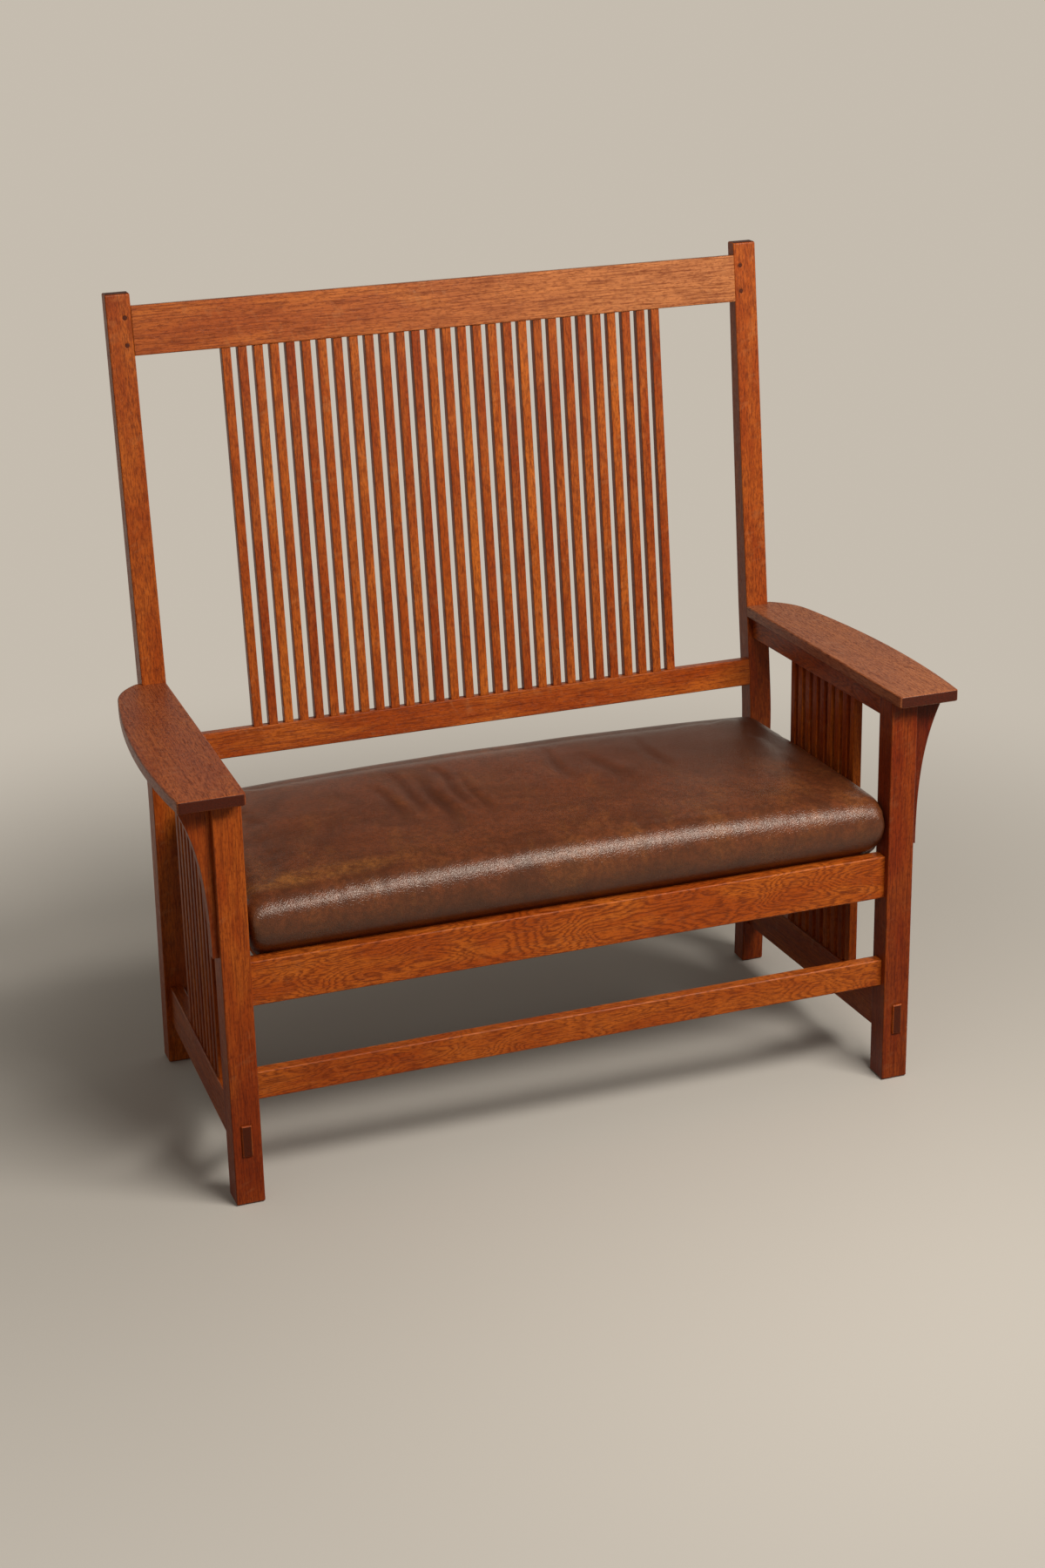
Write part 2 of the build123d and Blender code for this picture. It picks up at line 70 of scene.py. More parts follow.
# The spindles on each side, and how far apart they stand along it.
side_spindle_count, side_spindle_pitch = 9, 0.025


# Sizes and colours

class OakFinish(bpy.types.PropertyGroup):
    """Stain, grain and varnish of the oak."""
    dark: FloatVectorProperty(
        name="Dark grain", description="Colour of the pores and late wood under the stain",
        subtype="COLOR", size=4, min=0, max=1, default=(0.120, 0.0150, 0.0021, 1))
    middle: FloatVectorProperty(
        name="Stained oak", description="Main colour of the stained oak",
        subtype="COLOR", size=4, min=0, max=1, default=(0.335, 0.0520, 0.0046, 1))
    light: FloatVectorProperty(
        name="Light grain", description="Colour of the early wood, where less stain was taken up",
        subtype="COLOR", size=4, min=0, max=1, default=(0.490, 0.1100, 0.0115, 1))
    # the fleck colour is also the colour of the painted sheen on the top rail and the arms
    fleck: FloatVectorProperty(
        name="Ray fleck", description="Colour of the ray fleck of quartersawn oak",
        subtype="COLOR", size=4, min=0, max=1, default=(0.500, 0.2000, 0.0720, 1))
    end_grain: FloatVectorProperty(
        name="End grain", description="Colour of the ends, which took up the most stain",
        subtype="COLOR", size=4, min=0, max=1, default=(0.055, 0.0082, 0.0016, 1))
    roughness: FloatProperty(
        name="Roughness", description="Roughness of the satin varnish",
        subtype="FACTOR", min=0, max=1, default=0.36)
    coat: FloatProperty(
        name="Varnish", description="Strength of the clear coat over the stain",
        subtype="FACTOR", min=0, max=1, default=0.06)
    coat_roughness: FloatProperty(
        name="Varnish roughness", description="Roughness of the clear coat",
        subtype="FACTOR", min=0, max=1, default=0.24)
    gloss_tint: FloatVectorProperty(
        name="Gloss tint", description="Warm tint of the light that the varnish throws back",
        subtype="COLOR", size=4, min=0, max=1, default=(1.0, 0.84, 0.68, 1))
    pore_depth: FloatProperty(
        name="Pore depth", description="Depth of the open pores",
        subtype="DISTANCE", unit="LENGTH", min=0, max=0.002, default=0.00022)
    worn_width: FloatProperty(
        name="Worn edge", description="Width of the rubbed strip along an edge",
        subtype="DISTANCE", unit="LENGTH", min=0, max=0.02, default=0.0018)


class LeatherFinish(bpy.types.PropertyGroup):
    """Dye, grain and gloss of the cushion's leather."""
    hide: FloatVectorProperty(
        name="Hide", description="Main colour of the dyed leather",
        subtype="COLOR", size=4, min=0, max=1, default=(0.160, 0.0410, 0.0125, 1))
    rubbed: FloatVectorProperty(
        name="Rubbed hide", description="Tan colour where the dye is rubbed thin",
        subtype="COLOR", size=4, min=0, max=1, default=(0.300, 0.1060, 0.0220, 1))
    # the dark hide colour serves the leather's dark mottle and the painted shade in its folds, low down and
    # at the back right
    dark: FloatVectorProperty(
        name="Dark hide", description="Colour in the creases and darker patches",
        subtype="COLOR", size=4, min=0, max=1, default=(0.054, 0.0155, 0.0060, 1))
    roughness: FloatProperty(
        name="Roughness", description="Roughness of the finished leather",
        subtype="FACTOR", min=0, max=1, default=0.21)
    gloss: FloatProperty(
        name="Gloss", description="How strongly the finished leather shines",
        subtype="FACTOR", min=0, max=1, default=0.5)
    gloss_tint: FloatVectorProperty(
        name="Gloss tint", description="Warm tint of the light that the leather throws back",
        subtype="COLOR", size=4, min=0, max=1, default=(1.0, 0.88, 0.75, 1))
    pebble: FloatProperty(
        name="Pebble", description="Width of one pebble of the grain",
        subtype="DISTANCE", unit="LENGTH", min=0.0003, max=0.01, default=0.0016)
    pebble_depth: FloatProperty(
        name="Pebble depth", description="Depth between the pebbles",
        subtype="DISTANCE", unit="LENGTH", min=0, max=0.002, default=0.00032)


class CushionShape(bpy.types.PropertyGroup):
    """How the cushion is stuffed."""
    voxel: FloatProperty(
        name="Mesh width", description="Width of one face of the cushion's cover before it is subdivided",
        subtype="DISTANCE", unit="LENGTH", min=0.004, max=0.02, default=0.0072)
    inset: FloatProperty(
        name="Start", description="How far inside its finished skin the cover starts",
        subtype="DISTANCE", unit="LENGTH", min=0, max=0.02, default=0.004)
    corner: FloatProperty(
        name="Corner", description="Rounding of the solid's upright corners, which the filling tightens",
        subtype="DISTANCE", unit="LENGTH", min=0.001, max=0.05, default=0.022)
    bulge: FloatProperty(
        name="Bulge", description="How far the ends swell out at half height",
        subtype="DISTANCE", unit="LENGTH", min=0, max=0.02, default=0.012)
    leg_gap: FloatProperty(
        name="Leg gap",
        description="The least gap beside the leg, which also lets the cushion lift past the arm",
        subtype="DISTANCE", unit="LENGTH", min=0, max=0.005, default=0.0022)
    crown: FloatProperty(
        name="Crown", description="How much higher the filling carries the middle than the ends",
        subtype="DISTANCE", unit="LENGTH", min=0, max=0.02, default=0.012)
    droop: FloatProperty(
        name="Droop", description="How much the top sinks at the ends",
        subtype="DISTANCE", unit="LENGTH", min=0, max=0.01, default=0.006)
    pressure: FloatProperty(
        name="Stuffing", description="Pressure of the filling in the cover",
        min=0, max=20, default=4)
    swell: FloatProperty(
        name="Swell", description="The most that a point of the cover may move as it is stuffed",
        subtype="DISTANCE", unit="LENGTH", min=0, max=0.03, default=0.007)
    proud: FloatProperty(
        name="Proud", description="The most that the cover may stand outside the cushion's solid",
        subtype="DISTANCE", unit="LENGTH", min=0, max=0.01, default=0.0025)
    steps: IntProperty(
        name="Steps", description="Steps of the stuffing", min=1, max=60, default=20)
    crease_depth: FloatProperty(
        name="Crease depth", description="Depth of the folds in the top of the cover",
        subtype="DISTANCE", unit="LENGTH", min=0, max=0.005, default=0.0028)
    fill: FloatProperty(
        name="Fill", description="How tight the filled cushion is",
        subtype="FACTOR", min=0, max=1, default=0.9)


class StudioSetting(bpy.types.PropertyGroup):
    """Floor, lamps and camera."""
    floor: FloatVectorProperty(
        name="Floor", description="Colour of the plain floor",
        subtype="COLOR", size=4, min=0, max=1, default=(0.53, 0.475, 0.400, 1))
    bounce: FloatVectorProperty(
        name="Bounce", description="Colour of the floor for the light that it throws back up",
        subtype="COLOR", size=4, min=0, max=1, default=(0.16, 0.120, 0.080, 1))
    backdrop: FloatVectorProperty(
        name="Backdrop", description="Colour behind the settle",
        subtype="COLOR", size=4, min=0, max=1, default=(0.56, 0.505, 0.43, 1))
    room: FloatProperty(
        name="Room in the gloss", description="How bright the room above and in front is in the gloss",
        subtype="FACTOR", min=0, max=1, default=0.25)
    daylight: FloatProperty(
        name="Room light", description="Strength of the even light from all round",
        min=0, max=2, default=0.22)
    key_power: FloatProperty(
        name="Key lamp", description="Power of the wide soft lamp above the front",
        subtype="POWER", unit="POWER", min=0, max=1000, default=32)
    top_power: FloatProperty(
        name="Top lamp", description="Power of the long narrow lamp above the front, aimed at the seat",
        subtype="POWER", unit="POWER", min=0, max=1000, default=60)
    fill_power: FloatProperty(
        name="Fill lamp", description="Power of the weak lamp at the front left",
        subtype="POWER", unit="POWER", min=0, max=1000, default=4)
    lens: FloatProperty(
        name="Focal length", description="Focal length on a 36 mm high picture",
        subtype="DISTANCE_CAMERA", unit="CAMERA", min=10, max=300, default=61.17)


# Node helpers

def fill_sockets(tree, added, sockets):
    """Gives each input, by name or number, a value or another node's output."""
    for key, value in sockets.items():
        if isinstance(value, bpy.types.NodeSocket):
            tree.links.new(value, added.inputs[key])
        else:
            added.inputs[key].default_value = value


def place(tree, kind, sockets=None, **settings):
    """Adds one node, with its settings and its sockets."""
    added = tree.nodes.new(kind)
    for name, value in settings.items():
        setattr(added, name, value)
    fill_sockets(tree, added, sockets or {})
    return added


def reckon(tree, operation, *terms, clamp=False):
    """One sum on numbers."""
    added = place(tree, "ShaderNodeMath", dict(enumerate(terms)), operation=operation, use_clamp=clamp)
    return added.outputs[0]


def shift(tree, operation, *terms):
    """One sum on vectors."""
    if operation == "SCALE":
        added = place(tree, "ShaderNodeVectorMath", {0: terms[0], "Scale": terms[1]}, operation=operation)
    else:
        added = place(tree, "ShaderNodeVectorMath", dict(enumerate(terms)), operation=operation)
    return added.outputs["Value" if operation in ("LENGTH", "DISTANCE", "DOT_PRODUCT") else "Vector"]


def ramp(tree, value, low, high, start=0.0, end=1.0):
    """Eases a number from start at low to end at high."""
    added = place(tree, "ShaderNodeMapRange",
                  {"Value": value, "From Min": low, "From Max": high, "To Min": start, "To Max": end},
                  interpolation_type="SMOOTHSTEP")
    return added.outputs["Result"]


def blend_colour(tree, share, first, second):
    """Mixes two colours."""
    return place(tree, "ShaderNodeMix", {0: share, 6: first, 7: second}, data_type="RGBA").outputs[2]


def speckle(tree, vector, scale, detail=2.0, roughness=0.5, distortion=0.0):
    """Noise from nought to one."""
    added = place(tree, "ShaderNodeTexNoise",
                  {"Vector": vector, "Scale": scale, "Detail": detail, "Roughness": roughness,
                   "Distortion": distortion})
    return added.outputs["Fac"]


def new_group(name, takes, gives):
    """A shader node group with named sockets. Returns the tree, its inputs and its outputs."""
    tree = bpy.data.node_groups.new(name, "ShaderNodeTree")
    for label, kind, value in takes:
        socket = tree.interface.new_socket(name=label, in_out="INPUT", socket_type=kind)
        if value is not None:
            socket.default_value = value
    for label, kind in gives:
        tree.interface.new_socket(name=label, in_out="OUTPUT", socket_type=kind)
    return tree, tree.nodes.new("NodeGroupInput").outputs, tree.nodes.new("NodeGroupOutput").inputs


def use_group(tree, group, sockets):
    """Places a group in a material."""
    added = tree.nodes.new("ShaderNodeGroup")
    added.node_tree = group
    fill_sockets(tree, added, sockets)
    return added.outputs


def looked_at(tree):
    """Light Path's outputs, and a mask of one for what the camera, gloss or clear material looks at."""
    rays = tree.nodes.new("ShaderNodeLightPath").outputs
    seen = reckon(tree, "MAXIMUM", rays["Is Camera Ray"],
                  reckon(tree, "MAXIMUM", rays["Is Glossy Ray"], rays["Is Transmission Ray"]))
    return rays, seen


def new_material(name):
    """An empty material with its shader and output."""
    material = bpy.data.materials.new(name)
    material.use_nodes = True
    tree = material.node_tree
    tree.nodes.clear()
    output = tree.nodes.new("ShaderNodeOutputMaterial")
    shader = tree.nodes.new("ShaderNodeBsdfPrincipled")
    tree.links.new(shader.outputs["BSDF"], output.inputs["Surface"])
    return material, tree, shader, output


# Oak

def grain_group():
    """Stain and grain of one board, with its painted sheen, from coordinates whose X runs along the grain."""
    tree, take, give = new_group(
        "Oak grain",
        [("Vector", "NodeSocketVector", None), ("Facing", "NodeSocketVector", None),
         ("Dark", "NodeSocketColor", None), ("Middle", "NodeSocketColor", None),
         ("Light", "NodeSocketColor", None), ("Fleck", "NodeSocketColor", None),
         ("End Grain", "NodeSocketColor", None),
         ("Fleck Amount", "NodeSocketFloat", 0.2), ("Figure", "NodeSocketFloat", 0.0),
         ("Pale", "NodeSocketFloat", 0.0), ("Tone", "NodeSocketFloat", 0.5),
         ("Roughness", "NodeSocketFloat", 0.36)],
        [("Color", "NodeSocketColor"), ("Roughness", "NodeSocketFloat"), ("Height", "NodeSocketFloat")])
    along = take["Vector"]
    # the grain wanders a little from a straight line
    slow = shift(tree, "MULTIPLY", along, (1.3, 9.0, 9.0))
    waver = place(tree, "ShaderNodeTexNoise", {"Vector": slow, "Scale": 1.0, "Detail": 1.0})
    centred = shift(tree, "SUBTRACT", waver.outputs["Color"], (0.5, 0.5, 0.5))
    wandering = shift(tree, "ADD", along, shift(tree, "MULTIPLY", centred, (0.0, 0.014, 0.014)))
    # fine straight lines of a quartersawn face
    lines = speckle(tree, shift(tree, "MULTIPLY", wandering, (15.0, 430.0, 430.0)), 1.0, 3.0, 0.68)
    # flames of a flat-sawn face: level lines of a slow swell in the wood
    swell = speckle(tree, shift(tree, "MULTIPLY", wandering, (5.0, 15.0, 15.0)), 1.0, 2.0, 0.40, 0.25)
    ragged = reckon(tree, "MULTIPLY", lines, 1.7)
    rings = reckon(tree, "FRACT", reckon(tree, "MULTIPLY_ADD", swell, 30.0, ragged))
    flames = reckon(tree, "MULTIPLY_ADD", lines, 0.55, ramp(tree, rings, 0.25, 0.95, 0.0, 0.44))
    grain = place(tree, "ShaderNodeMix", {0: take["Figure"], 2: lines, 3: flames}).outputs[0]
    # open pores, short dashes along the grain, and the fine mottle between them
    pores = speckle(tree, shift(tree, "MULTIPLY", wandering, (55.0, 820.0, 820.0)), 1.0, 1.0, 0.5)
    pore = ramp(tree, pores, 0.57, 0.70)
    mottle = speckle(tree, shift(tree, "MULTIPLY", along, (130.0, 330.0, 330.0)), 1.0, 2.0, 0.6)
    # slow patches where the stain took up unevenly, and small soaked spots
    patches = speckle(tree, shift(tree, "MULTIPLY", along, (6.0, 24.0, 24.0)), 1.0, 3.0, 0.55, 0.6)
    spots = speckle(tree, shift(tree, "MULTIPLY", along, (24.0, 36.0, 36.0)), 1.0, 1.0)
    # ray fleck lies across the grain
    slanted = place(tree, "ShaderNodeMapping", {"Vector": along, "Rotation": (0.0, 0.35, 0.35)})
    rays = speckle(tree, shift(tree, "MULTIPLY", slanted.outputs[0], (120.0, 46.0, 46.0)), 1.0, 1.0, 0.5, 0.5)
    rays_here = speckle(tree, shift(tree, "MULTIPLY", along, (14.0, 30.0, 30.0)), 1.0, 1.0)
    ray = reckon(tree, "MULTIPLY", ramp(tree, rays, 0.52, 0.72), ramp(tree, rays_here, 0.42, 0.66))
    # colour
    colour = blend_colour(tree, ramp(tree, patches, 0.36, 0.70, 0.0, 0.85), take["Middle"], take["Light"])
    # painted sheen: the board turns toward the pale fleck colour by the given amount
    colour = blend_colour(tree, take["Pale"], colour, take["Fleck"])
    colour = blend_colour(tree, ramp(tree, grain, 0.40, 0.70, 0.0, 0.72), colour, take["Dark"])
    colour = blend_colour(tree, ramp(tree, mottle, 0.46, 0.68, 0.0, 0.46), colour, take["Dark"])
    colour = blend_colour(tree, ramp(tree, spots, 0.60, 0.76, 0.0, 0.22), colour, take["Dark"])
    colour = blend_colour(tree, reckon(tree, "MULTIPLY", pore, 0.50), colour, take["Dark"])
    colour = blend_colour(tree, reckon(tree, "MULTIPLY", ray, take["Fleck Amount"]), colour, take["Fleck"])
    # ends of the board
    facing = place(tree, "ShaderNodeSeparateXYZ", {0: take["Facing"]}).outputs
    end = ramp(tree, reckon(tree, "ABSOLUTE", facing[0]), 0.72, 0.93)
    soaked = blend_colour(tree, ramp(tree, lines, 0.35, 0.7, 0.0, 0.5), take["End Grain"], take["Dark"])
    colour = blend_colour(tree, end, colour, soaked)
    toned = place(tree, "ShaderNodeHueSaturation",
                  {"Hue": reckon(tree, "MULTIPLY_ADD", take["Tone"], 0.011, 0.4945),
                   "Saturation": 1.0,
                   "Value": reckon(tree, "MULTIPLY_ADD", take["Tone"], 0.56, 0.72),
                   "Fac": 1.0, "Color": colour})
    tree.links.new(toned.outputs[0], give["Color"])
    rough = reckon(tree, "MULTIPLY_ADD", pore, 0.16, take["Roughness"])
    rough = reckon(tree, "MULTIPLY_ADD", patches, 0.10, rough)
    rough = reckon(tree, "MULTIPLY_ADD", ray, -0.06, rough)
    tree.links.new(reckon(tree, "MULTIPLY_ADD", end, 0.12, rough), give["Roughness"])
    height = reckon(tree, "MULTIPLY_ADD", pore, -0.8, reckon(tree, "MULTIPLY", lines, 0.45))
    tree.links.new(height, give["Height"])


def edge_group():
    """Where an edge is rubbed, a mask broken up by noise, and the rounded normal that catches the light."""
    tree, take, give = new_group(
        "Rubbed edge",
        [("Vector", "NodeSocketVector", None), ("Width", "NodeSocketFloat", 0.0018)],
        [("Mask", "NodeSocketFloat"), ("Normal", "NodeSocketVector")])
    rounded = place(tree, "ShaderNodeBevel", {"Radius": take["Width"]}, samples=6)
    flat = place(tree, "ShaderNodeNewGeometry")
    agree = shift(tree, "DOT_PRODUCT", rounded.outputs[0], flat.outputs["True Normal"])
    uneven = speckle(tree, take["Vector"], 38.0, 3.0, 0.6)
    mask = reckon(tree, "MULTIPLY", ramp(tree, agree, 0.995, 0.90), ramp(tree, uneven, 0.34, 0.58))
    tree.links.new(mask, give["Mask"])
    tree.links.new(rounded.outputs[0], give["Normal"])


def board_group():
    """Which of a row of equal boards a point is in: a tone and an offset of the grain for each."""
    tree, take, give = new_group(
        "Board in a row",
        [("Place", "NodeSocketFloat", 0.0), ("Start", "NodeSocketFloat", 0.0),
         ("Pitch", "NodeSocketFloat", 0.02)],
        [("Tone", "NodeSocketFloat"), ("Offset", "NodeSocketVector")])
    count = reckon(tree, "DIVIDE", reckon(tree, "SUBTRACT", take["Place"], take["Start"]), take["Pitch"])
    pick = place(tree, "ShaderNodeTexWhiteNoise", {"W": reckon(tree, "FLOOR", count)}, noise_dimensions="1D")
    tree.links.new(pick.outputs["Value"], give["Tone"])
    tree.links.new(shift(tree, "SCALE", pick.outputs["Color"], 3.0), give["Offset"])


def oak(name, turn, number, tone=0.5, figure=0.0, fleck=0.15, row=None, spread=0.5,
        pale=None, painted_shade=None, gloss=0.2):
    """Oak with its grain turned to lie along the piece, cut from its own numbered place.

    Row is (axis, start, pitch) for pieces in a row, and spread is how far their tones lie apart.
    pale, a painted sheen, is (from, to, first, last): the amounts by which the board is paler at two places
    along X, standing in for the varnish's hazy reflection.
    Shade, a painted shade, is (from, to, first, last): what is added to its tone at two heights, to darken
    the board where less light fell.
    """
    look = bpy.context.scene.settle_oak
    groups = bpy.data.node_groups
    material, tree, shader, _ = new_material(name)
    where = tree.nodes.new("ShaderNodeTexCoord")
    here = where.outputs["Object"]
    parts = place(tree, "ShaderNodeSeparateXYZ", {0: here}).outputs
    # a piece's tone is partly the stain's own colour and partly painted light and shade, set to how bright
    # the piece looked under its light
    own_tone = tone
    if row:
        axis, start, pitch = row
        picked = use_group(tree, groups["Board in a row"],
                           {"Place": parts[axis], "Start": start, "Pitch": pitch})
        own_tone = reckon(tree, "MULTIPLY_ADD", picked["Tone"], spread, tone - spread / 2)
        here = shift(tree, "ADD", here, picked["Offset"])
    # painted shade: the tone is darkened at the given heights, where less light fell
    if painted_shade:
        own_tone = reckon(tree, "ADD", ramp(tree, parts[2], *painted_shade), tone)
    laid = place(tree, "ShaderNodeMapping",
                 {"Vector": here, "Location": tuple(step * number for step in board_step), "Rotation": turn})
    facing = place(tree, "ShaderNodeMapping", {"Vector": where.outputs["Normal"], "Rotation": turn},
                   vector_type="VECTOR")
    sockets = {"Vector": laid.outputs[0], "Facing": facing.outputs[0],
               "Dark": look.dark, "Middle": look.middle, "Light": look.light, "Fleck": look.fleck,
               "End Grain": look.end_grain, "Fleck Amount": fleck, "Figure": figure,
               "Tone": own_tone, "Roughness": look.roughness}
    # painted sheen: the board is made paler along X, standing in for the varnish's hazy reflection
    if pale:
        sockets["Pale"] = ramp(tree, parts[0], *pale)
    grain = use_group(tree, groups["Oak grain"], sockets)
    rubbed = use_group(tree, groups["Rubbed edge"], {"Vector": laid.outputs[0], "Width": look.worn_width})
    colour = blend_colour(tree, reckon(tree, "MULTIPLY", rubbed["Mask"], 0.40), grain["Color"], look.light)
    tree.links.new(colour, shader.inputs["Base Color"])
    rough = reckon(tree, "MULTIPLY_ADD", rubbed["Mask"], -0.08, grain["Roughness"])
    tree.links.new(rough, shader.inputs["Roughness"])
    bump = place(tree, "ShaderNodeBump",
                 {"Height": grain["Height"], "Distance": look.pore_depth, "Strength": 1.0,
                  "Normal": rubbed["Normal"]})
    tree.links.new(bump.outputs[0], shader.inputs["Normal"])
    shader.inputs["Specular IOR Level"].default_value = gloss
    shader.inputs["Specular Tint"].default_value = look.gloss_tint
    shader.inputs["Coat Weight"].default_value = look.coat
    shader.inputs["Coat Roughness"].default_value = look.coat_roughness
    return material


def dress(names, material):
    """Puts one material on CAD nodes."""
    for name in names:
        slots = nodes[name].material_slots
        if not slots:
            nodes[name].data.materials.append(material)
        for slot in slots:
            slot.material = material


# Leather

def leather_group():
    """Dyed and rubbed hide with its pebble."""
    tree, take, give = new_group(
        "Leather hide",
        [("Vector", "NodeSocketVector", None), ("Rubbed Mask", "NodeSocketFloat", 0.0),
         ("Fold", "NodeSocketFloat", 0.0), ("Hide", "NodeSocketColor", None),
         ("Rubbed", "NodeSocketColor", None), ("Dark", "NodeSocketColor", None),
         ("Pebble", "NodeSocketFloat", 0.0016), ("Roughness", "NodeSocketFloat", 0.37)],
        [("Color", "NodeSocketColor"), ("Roughness", "NodeSocketFloat"), ("Height", "NodeSocketFloat")])
    here = take["Vector"]
    clouds = speckle(tree, here, 13.0, 5.0, 0.66, 0.8)
    streaks = speckle(tree, shift(tree, "MULTIPLY", here, (22.0, 9.0, 9.0)), 1.0, 3.0, 0.6, 0.5)
    fine = speckle(tree, here, 130.0, 3.0, 0.6)
    pebbles = place(tree, "ShaderNodeTexVoronoi",
                    {"Vector": here, "Scale": reckon(tree, "DIVIDE", 1.0, take["Pebble"]), "Smoothness": 0.6,
                     "Randomness": 1.0}, feature="SMOOTH_F1").outputs["Distance"]
    cracks = place(tree, "ShaderNodeTexVoronoi",
                   {"Vector": here, "Scale": reckon(tree, "DIVIDE", 0.27, take["Pebble"]), "Randomness": 1.0},
                   feature="DISTANCE_TO_EDGE").outputs["Distance"]
    colour = blend_colour(tree, ramp(tree, clouds, 0.40, 0.68, 0.0, 0.65), take["Hide"], take["Dark"])
    thin = reckon(tree, "MULTIPLY", ramp(tree, streaks, 0.44, 0.76), 0.28)
    thin = reckon(tree, "ADD", thin, take["Rubbed Mask"], clamp=True)
    colour = blend_colour(tree, thin, colour, take["Rubbed"])
    colour = blend_colour(tree, ramp(tree, fine, 0.40, 0.64, 0.0, 0.5), colour, take["Dark"])
    mottle = speckle(tree, here, 48.0, 4.0, 0.7)
    colour = blend_colour(tree, ramp(tree, mottle, 0.40, 0.66, 0.0, 0.36), colour, take["Dark"])
    colour = blend_colour(tree, ramp(tree, pebbles, 0.35, 0.75, 0.0, 0.30), colour, take["Dark"])
    # painted shade: the leather darkens in the folds' hollows, at the back right and low down
    colour = blend_colour(tree, reckon(tree, "MULTIPLY", take["Fold"], 0.92), colour, take["Dark"])
    tree.links.new(colour, give["Color"])
    rough = reckon(tree, "MULTIPLY_ADD", clouds, 0.12, take["Roughness"])
    rough = reckon(tree, "MULTIPLY_ADD", pebbles, 0.10, rough)
    tree.links.new(rough, give["Roughness"])
    domes = ramp(tree, pebbles, 0.05, 0.8, 1.0, 0.0)
    plates = ramp(tree, cracks, 0.0, 0.12, 0.0, 0.6)
    height = reckon(tree, "ADD", domes, reckon(tree, "MULTIPLY_ADD", fine, 0.5, plates))
    tree.links.new(height, give["Height"])


def leather():
    """The cushion's leather, tan at the front left, with painted shade in its folds, low down and at the back
    right.
    """
    look = bpy.context.scene.settle_leather
    # each patch: its middle, how far it reaches, and how near its middle it is at full strength
    rubbed_at, rubbed_reach, rubbed_core = (-0.40, -0.222, 0.475), 0.19, 0.03
    # painted shade: a darker patch at the back right of the top
    shade_patch_at, shade_patch_reach, shade_patch_core = (0.37, 0.09, 0.47), 0.36, 0.08
    # painted shade low on the cushion: the height below which the leather darkens, and where it is darkest
    low_shade_from, low_shade_to = 0.455, 0.385
    material, tree, shader, _ = new_material("cushion_leather")
    here = tree.nodes.new("ShaderNodeTexCoord").outputs["Object"]
    stretched = shift(tree, "MULTIPLY", shift(tree, "SUBTRACT", here, rubbed_at), (1.0, 6.0, 1.0))
    near = ramp(tree, shift(tree, "LENGTH", stretched), rubbed_reach, rubbed_core, 0.0, 0.9)
    broken = ramp(tree, speckle(tree, here, 30.0, 3.0, 0.6, 0.5), 0.22, 0.55)
    # painted shade in the folds' hollows, read from the fold attribute
    fold_shade = place(tree, "ShaderNodeAttribute", attribute_name="fold").outputs["Fac"]
    off = shift(tree, "MULTIPLY", shift(tree, "SUBTRACT", here, shade_patch_at), (1.0, 1.3, 0.0))
    height = place(tree, "ShaderNodeSeparateXYZ", {0: here}).outputs[2]
    patch_and_low_shade = reckon(tree, "ADD", ramp(tree, shift(tree, "LENGTH", off), shade_patch_reach, shade_patch_core, 0.0, 1.0),
                    ramp(tree, height, low_shade_from, low_shade_to, 0.0, 0.6))
    # all painted shade: the folds' hollows, the back-right patch and the low part of the cushion
    fold = reckon(tree, "ADD", fold_shade, patch_and_low_shade, clamp=True)
    hide = use_group(tree, bpy.data.node_groups["Leather hide"],
                     {"Vector": here, "Rubbed Mask": reckon(tree, "MULTIPLY", near, broken), "Fold": fold,
                      "Hide": look.hide, "Rubbed": look.rubbed, "Dark": look.dark,
                      "Pebble": look.pebble, "Roughness": look.roughness})
    tree.links.new(hide["Color"], shader.inputs["Base Color"])
    tree.links.new(hide["Roughness"], shader.inputs["Roughness"])
    bump = place(tree, "ShaderNodeBump",
                 {"Height": hide["Height"], "Distance": look.pebble_depth, "Strength": 0.6})
    tree.links.new(bump.outputs[0], shader.inputs["Normal"])
    shader.inputs["Specular IOR Level"].default_value = look.gloss
    shader.inputs["Specular Tint"].default_value = look.gloss_tint
    return material


# Cushion

def settled_mesh(piece):
    """The piece's mesh with its modifiers applied, as a new mesh."""
    graph = bpy.context.evaluated_depsgraph_get()
    return bpy.data.meshes.new_from_object(piece.evaluated_get(graph), depsgraph=graph)


def new_object(name, mesh):
    """An object in the scene made from a bmesh, which is freed."""
    data = bpy.data.meshes.new(name)
    mesh.to_mesh(data)
    mesh.free()
    made = bpy.data.objects.new(name, data)
    bpy.context.scene.collection.objects.link(made)
    return made


def apply_modifiers(piece):
    """Applies all the piece's modifiers to its mesh."""
    mesh = settled_mesh(piece)
    old = piece.data
    piece.modifiers.clear()
    piece.data = mesh
    bpy.data.meshes.remove(old)


def move_points(piece, rule):
    """Moves every point to where the rule puts it, from the places and normals that all have before."""
    mesh = piece.data
    before = [(vertex.co.copy(), vertex.normal.copy()) for vertex in mesh.vertices]
    after = [rule(co, up) for co, up in before]
    mesh.vertices.foreach_set("co", [value for co in after for value in co])
    mesh.update()


